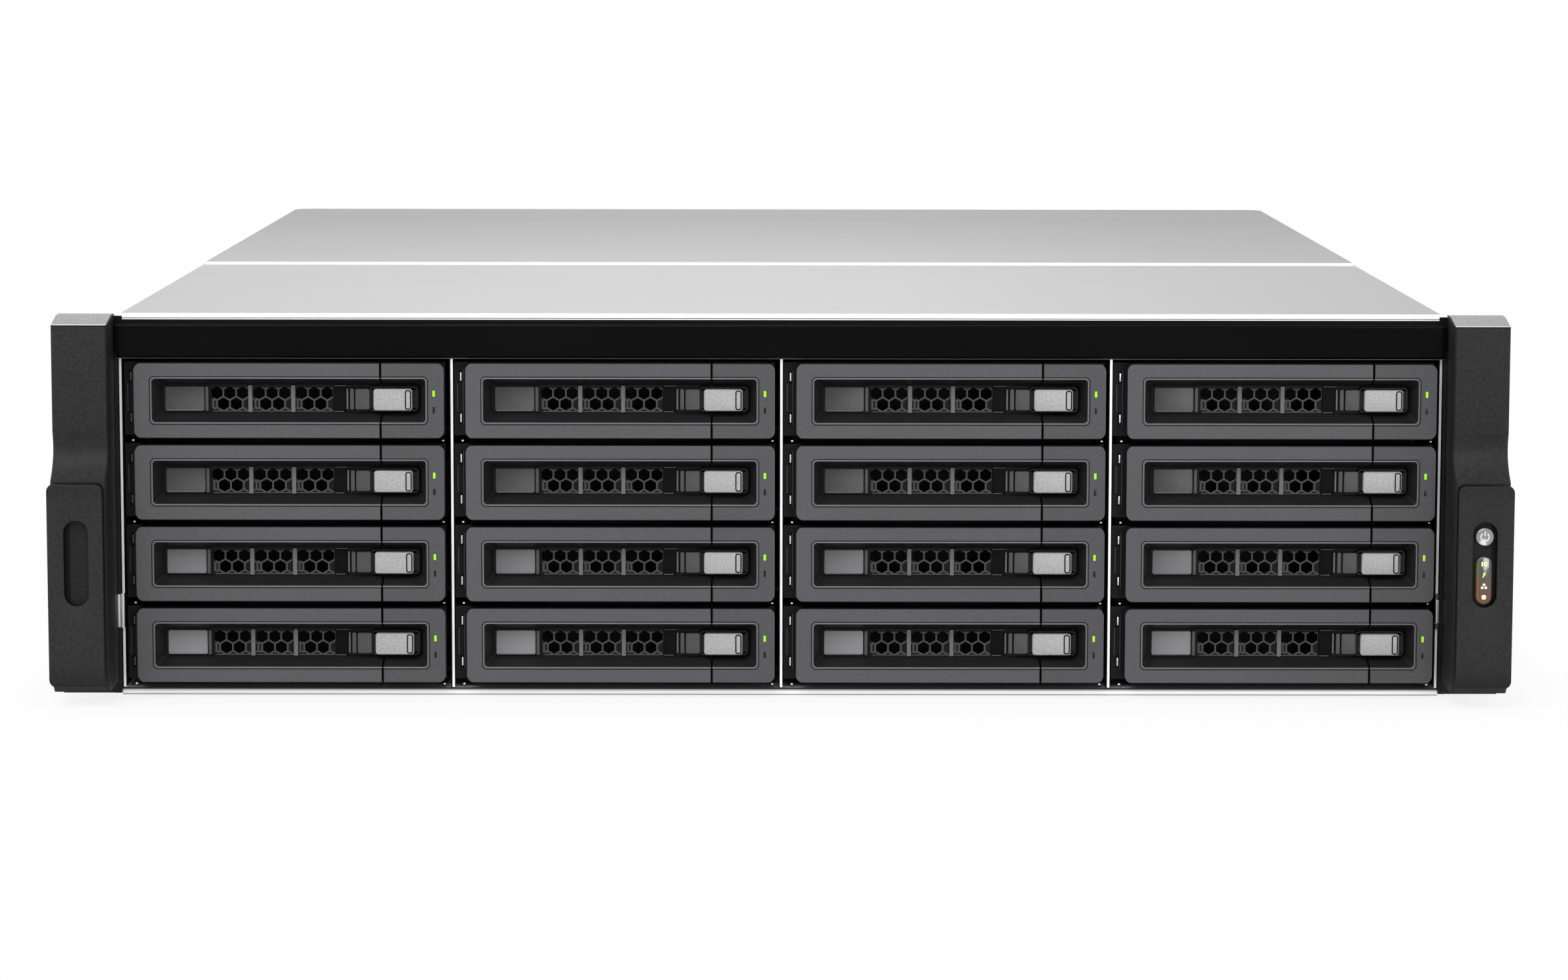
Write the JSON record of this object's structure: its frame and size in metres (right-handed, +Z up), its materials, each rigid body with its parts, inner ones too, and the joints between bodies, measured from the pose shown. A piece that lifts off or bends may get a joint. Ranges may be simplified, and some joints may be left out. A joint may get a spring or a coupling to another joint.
{
  "type": "rackmount storage server",
  "caption": "Rackmount storage server: silver sheet-metal case, pull-out drive trays, each with a swing lever and sliding latch, black rack ears, rear fans and pull-out power supplies.",
  "frame": {"origin": "centre of the chassis pan's underside", "axes": "+X to the right seen from the front, +Y to the back, +Z up"},
  "size_m": [0.482, 0.582, 0.1296],
  "materials": {
    "silver_sheet": "satin",
    "black_gloss": "gloss",
    "black_textured": "fine texture",
    "clear_button": "gloss",
    "black_plastic": "matt",
    "board": "solder mask",
    "supply_case": "plated sheet",
    "tray_grey": "satin",
    "latch_silver": "satin"
  },
  "bodies": {
    "chassis": {"chassis_pan": "silver_sheet", "drive_cage": "silver_sheet", "rear_lid": "silver_sheet", "fascia_strip": "black_gloss", "rack_ears": "black_textured", "fan_frames": "black_plastic", "circuit_boards": "board"},
    "power_button": {"power_button": "clear_button"},
    "supply_lower": {"supply_lower": "supply_case"},
    "supply_upper": {"supply_upper": "supply_case"},
    "fan_rotor_left": {"fan_rotor_left": "black_plastic"},
    "fan_rotor_right": {"fan_rotor_right": "black_plastic"},
    "tray_r1c1": {"tray_r1c1": "tray_grey"},
    "lever_r1c1": {"lever_r1c1": "tray_grey"},
    "latch_r1c1": {"latch_r1c1": "latch_silver"},
    "tray_r1c2": {"tray_r1c2": "tray_grey"},
    "lever_r1c2": {"lever_r1c2": "tray_grey"},
    "latch_r1c2": {"latch_r1c2": "latch_silver"},
    "tray_r1c3": {"tray_r1c3": "tray_grey"},
    "lever_r1c3": {"lever_r1c3": "tray_grey"},
    "latch_r1c3": {"latch_r1c3": "latch_silver"},
    "tray_r1c4": {"tray_r1c4": "tray_grey"},
    "lever_r1c4": {"lever_r1c4": "tray_grey"},
    "latch_r1c4": {"latch_r1c4": "latch_silver"},
    "tray_r2c1": {"tray_r2c1": "tray_grey"},
    "lever_r2c1": {"lever_r2c1": "tray_grey"},
    "latch_r2c1": {"latch_r2c1": "latch_silver"},
    "tray_r2c2": {"tray_r2c2": "tray_grey"},
    "lever_r2c2": {"lever_r2c2": "tray_grey"},
    "latch_r2c2": {"latch_r2c2": "latch_silver"},
    "tray_r2c3": {"tray_r2c3": "tray_grey"},
    "lever_r2c3": {"lever_r2c3": "tray_grey"},
    "latch_r2c3": {"latch_r2c3": "latch_silver"},
    "tray_r2c4": {"tray_r2c4": "tray_grey"},
    "lever_r2c4": {"lever_r2c4": "tray_grey"},
    "latch_r2c4": {"latch_r2c4": "latch_silver"},
    "tray_r3c1": {"tray_r3c1": "tray_grey"},
    "lever_r3c1": {"lever_r3c1": "tray_grey"},
    "latch_r3c1": {"latch_r3c1": "latch_silver"},
    "tray_r3c2": {"tray_r3c2": "tray_grey"},
    "lever_r3c2": {"lever_r3c2": "tray_grey"},
    "latch_r3c2": {"latch_r3c2": "latch_silver"},
    "tray_r3c3": {"tray_r3c3": "tray_grey"},
    "lever_r3c3": {"lever_r3c3": "tray_grey"},
    "latch_r3c3": {"latch_r3c3": "latch_silver"},
    "tray_r3c4": {"tray_r3c4": "tray_grey"},
    "lever_r3c4": {"lever_r3c4": "tray_grey"},
    "latch_r3c4": {"latch_r3c4": "latch_silver"},
    "tray_r4c1": {"tray_r4c1": "tray_grey"},
    "lever_r4c1": {"lever_r4c1": "tray_grey"},
    "latch_r4c1": {"latch_r4c1": "latch_silver"},
    "tray_r4c2": {"tray_r4c2": "tray_grey"},
    "lever_r4c2": {"lever_r4c2": "tray_grey"},
    "latch_r4c2": {"latch_r4c2": "latch_silver"},
    "tray_r4c3": {"tray_r4c3": "tray_grey"},
    "lever_r4c3": {"lever_r4c3": "tray_grey"},
    "latch_r4c3": {"latch_r4c3": "latch_silver"},
    "tray_r4c4": {"tray_r4c4": "tray_grey"},
    "lever_r4c4": {"lever_r4c4": "tray_grey"},
    "latch_r4c4": {"latch_r4c4": "latch_silver"}
  },
  "joints": [
    {"name": "power_press", "type": "slide", "parent": "chassis", "child": "power_button", "axis": [0, 1, 0], "range_m": [0, 0.0012], "stiffness_N_per_m": 800},
    {"name": "supply_lower_slide", "type": "slide", "parent": "chassis", "child": "supply_lower", "axis": [0, 1, 0], "range_m": [0, 0.2]},
    {"name": "supply_upper_slide", "type": "slide", "parent": "chassis", "child": "supply_upper", "axis": [0, 1, 0], "range_m": [0, 0.2]},
    {"name": "fan_left_spin", "type": "hinge", "parent": "chassis", "child": "fan_rotor_left", "pos_m": [-0.07014, 0.252, 0.064], "axis": [0, 1, 0], "continuous": true},
    {"name": "fan_right_spin", "type": "hinge", "parent": "chassis", "child": "fan_rotor_right", "pos_m": [0.01587, 0.252, 0.064], "axis": [0, 1, 0], "continuous": true},
    {"name": "tray_slide_r1c1", "type": "slide", "parent": "chassis", "child": "tray_r1c1", "axis": [0, -1, 0], "range_m": [0, 0.19]},
    {"name": "lever_swing_r1c1", "type": "hinge", "parent": "tray_r1c1", "child": "lever_r1c1", "pos_m": [-0.2122, -0.2681, 0.1], "axis": [0, 0, -1], "range_deg": [0, 50]},
    {"name": "latch_slide_r1c1", "type": "slide", "parent": "tray_r1c1", "child": "latch_r1c1", "axis": [1, 0, 0], "range_m": [0, 0.002], "stiffness_N_per_m": 300},
    {"name": "tray_slide_r1c2", "type": "slide", "parent": "chassis", "child": "tray_r1c2", "axis": [0, -1, 0], "range_m": [0, 0.19]},
    {"name": "lever_swing_r1c2", "type": "hinge", "parent": "tray_r1c2", "child": "lever_r1c2", "pos_m": [-0.1022, -0.2681, 0.1], "axis": [0, 0, -1], "range_deg": [0, 50]},
    {"name": "latch_slide_r1c2", "type": "slide", "parent": "tray_r1c2", "child": "latch_r1c2", "axis": [1, 0, 0], "range_m": [0, 0.002], "stiffness_N_per_m": 300},
    {"name": "tray_slide_r1c3", "type": "slide", "parent": "chassis", "child": "tray_r1c3", "axis": [0, -1, 0], "range_m": [0, 0.19]},
    {"name": "lever_swing_r1c3", "type": "hinge", "parent": "tray_r1c3", "child": "lever_r1c3", "pos_m": [0.0078, -0.2681, 0.1], "axis": [0, 0, -1], "range_deg": [0, 50]},
    {"name": "latch_slide_r1c3", "type": "slide", "parent": "tray_r1c3", "child": "latch_r1c3", "axis": [1, 0, 0], "range_m": [0, 0.002], "stiffness_N_per_m": 300},
    {"name": "tray_slide_r1c4", "type": "slide", "parent": "chassis", "child": "tray_r1c4", "axis": [0, -1, 0], "range_m": [0, 0.19]},
    {"name": "lever_swing_r1c4", "type": "hinge", "parent": "tray_r1c4", "child": "lever_r1c4", "pos_m": [0.1178, -0.2681, 0.1], "axis": [0, 0, -1], "range_deg": [0, 50]},
    {"name": "latch_slide_r1c4", "type": "slide", "parent": "tray_r1c4", "child": "latch_r1c4", "axis": [1, 0, 0], "range_m": [0, 0.002], "stiffness_N_per_m": 300},
    {"name": "tray_slide_r2c1", "type": "slide", "parent": "chassis", "child": "tray_r2c1", "axis": [0, -1, 0], "range_m": [0, 0.19]},
    {"name": "lever_swing_r2c1", "type": "hinge", "parent": "tray_r2c1", "child": "lever_r2c1", "pos_m": [-0.2122, -0.2681, 0.0726], "axis": [0, 0, -1], "range_deg": [0, 50]},
    {"name": "latch_slide_r2c1", "type": "slide", "parent": "tray_r2c1", "child": "latch_r2c1", "axis": [1, 0, 0], "range_m": [0, 0.002], "stiffness_N_per_m": 300},
    {"name": "tray_slide_r2c2", "type": "slide", "parent": "chassis", "child": "tray_r2c2", "axis": [0, -1, 0], "range_m": [0, 0.19]},
    {"name": "lever_swing_r2c2", "type": "hinge", "parent": "tray_r2c2", "child": "lever_r2c2", "pos_m": [-0.1022, -0.2681, 0.0726], "axis": [0, 0, -1], "range_deg": [0, 50]},
    {"name": "latch_slide_r2c2", "type": "slide", "parent": "tray_r2c2", "child": "latch_r2c2", "axis": [1, 0, 0], "range_m": [0, 0.002], "stiffness_N_per_m": 300},
    {"name": "tray_slide_r2c3", "type": "slide", "parent": "chassis", "child": "tray_r2c3", "axis": [0, -1, 0], "range_m": [0, 0.19]},
    {"name": "lever_swing_r2c3", "type": "hinge", "parent": "tray_r2c3", "child": "lever_r2c3", "pos_m": [0.0078, -0.2681, 0.0726], "axis": [0, 0, -1], "range_deg": [0, 50]},
    {"name": "latch_slide_r2c3", "type": "slide", "parent": "tray_r2c3", "child": "latch_r2c3", "axis": [1, 0, 0], "range_m": [0, 0.002], "stiffness_N_per_m": 300},
    {"name": "tray_slide_r2c4", "type": "slide", "parent": "chassis", "child": "tray_r2c4", "axis": [0, -1, 0], "range_m": [0, 0.19]},
    {"name": "lever_swing_r2c4", "type": "hinge", "parent": "tray_r2c4", "child": "lever_r2c4", "pos_m": [0.1178, -0.2681, 0.0726], "axis": [0, 0, -1], "range_deg": [0, 50]},
    {"name": "latch_slide_r2c4", "type": "slide", "parent": "tray_r2c4", "child": "latch_r2c4", "axis": [1, 0, 0], "range_m": [0, 0.002], "stiffness_N_per_m": 300},
    {"name": "tray_slide_r3c1", "type": "slide", "parent": "chassis", "child": "tray_r3c1", "axis": [0, -1, 0], "range_m": [0, 0.19]},
    {"name": "lever_swing_r3c1", "type": "hinge", "parent": "tray_r3c1", "child": "lever_r3c1", "pos_m": [-0.2122, -0.2681, 0.0452], "axis": [0, 0, -1], "range_deg": [0, 50]},
    {"name": "latch_slide_r3c1", "type": "slide", "parent": "tray_r3c1", "child": "latch_r3c1", "axis": [1, 0, 0], "range_m": [0, 0.002], "stiffness_N_per_m": 300},
    {"name": "tray_slide_r3c2", "type": "slide", "parent": "chassis", "child": "tray_r3c2", "axis": [0, -1, 0], "range_m": [0, 0.19]},
    {"name": "lever_swing_r3c2", "type": "hinge", "parent": "tray_r3c2", "child": "lever_r3c2", "pos_m": [-0.1022, -0.2681, 0.0452], "axis": [0, 0, -1], "range_deg": [0, 50]},
    {"name": "latch_slide_r3c2", "type": "slide", "parent": "tray_r3c2", "child": "latch_r3c2", "axis": [1, 0, 0], "range_m": [0, 0.002], "stiffness_N_per_m": 300},
    {"name": "tray_slide_r3c3", "type": "slide", "parent": "chassis", "child": "tray_r3c3", "axis": [0, -1, 0], "range_m": [0, 0.19]},
    {"name": "lever_swing_r3c3", "type": "hinge", "parent": "tray_r3c3", "child": "lever_r3c3", "pos_m": [0.0078, -0.2681, 0.0452], "axis": [0, 0, -1], "range_deg": [0, 50]},
    {"name": "latch_slide_r3c3", "type": "slide", "parent": "tray_r3c3", "child": "latch_r3c3", "axis": [1, 0, 0], "range_m": [0, 0.002], "stiffness_N_per_m": 300},
    {"name": "tray_slide_r3c4", "type": "slide", "parent": "chassis", "child": "tray_r3c4", "axis": [0, -1, 0], "range_m": [0, 0.19]},
    {"name": "lever_swing_r3c4", "type": "hinge", "parent": "tray_r3c4", "child": "lever_r3c4", "pos_m": [0.1178, -0.2681, 0.0452], "axis": [0, 0, -1], "range_deg": [0, 50]},
    {"name": "latch_slide_r3c4", "type": "slide", "parent": "tray_r3c4", "child": "latch_r3c4", "axis": [1, 0, 0], "range_m": [0, 0.002], "stiffness_N_per_m": 300},
    {"name": "tray_slide_r4c1", "type": "slide", "parent": "chassis", "child": "tray_r4c1", "axis": [0, -1, 0], "range_m": [0, 0.19]},
    {"name": "lever_swing_r4c1", "type": "hinge", "parent": "tray_r4c1", "child": "lever_r4c1", "pos_m": [-0.2122, -0.2681, 0.0178], "axis": [0, 0, -1], "range_deg": [0, 50]},
    {"name": "latch_slide_r4c1", "type": "slide", "parent": "tray_r4c1", "child": "latch_r4c1", "axis": [1, 0, 0], "range_m": [0, 0.002], "stiffness_N_per_m": 300},
    {"name": "tray_slide_r4c2", "type": "slide", "parent": "chassis", "child": "tray_r4c2", "axis": [0, -1, 0], "range_m": [0, 0.19]},
    {"name": "lever_swing_r4c2", "type": "hinge", "parent": "tray_r4c2", "child": "lever_r4c2", "pos_m": [-0.1022, -0.2681, 0.0178], "axis": [0, 0, -1], "range_deg": [0, 50]},
    {"name": "latch_slide_r4c2", "type": "slide", "parent": "tray_r4c2", "child": "latch_r4c2", "axis": [1, 0, 0], "range_m": [0, 0.002], "stiffness_N_per_m": 300},
    {"name": "tray_slide_r4c3", "type": "slide", "parent": "chassis", "child": "tray_r4c3", "axis": [0, -1, 0], "range_m": [0, 0.19]},
    {"name": "lever_swing_r4c3", "type": "hinge", "parent": "tray_r4c3", "child": "lever_r4c3", "pos_m": [0.0078, -0.2681, 0.0178], "axis": [0, 0, -1], "range_deg": [0, 50]},
    {"name": "latch_slide_r4c3", "type": "slide", "parent": "tray_r4c3", "child": "latch_r4c3", "axis": [1, 0, 0], "range_m": [0, 0.002], "stiffness_N_per_m": 300},
    {"name": "tray_slide_r4c4", "type": "slide", "parent": "chassis", "child": "tray_r4c4", "axis": [0, -1, 0], "range_m": [0, 0.19]},
    {"name": "lever_swing_r4c4", "type": "hinge", "parent": "tray_r4c4", "child": "lever_r4c4", "pos_m": [0.1178, -0.2681, 0.0178], "axis": [0, 0, -1], "range_deg": [0, 50]},
    {"name": "latch_slide_r4c4", "type": "slide", "parent": "tray_r4c4", "child": "latch_r4c4", "axis": [1, 0, 0], "range_m": [0, 0.002], "stiffness_N_per_m": 300}
  ]
}
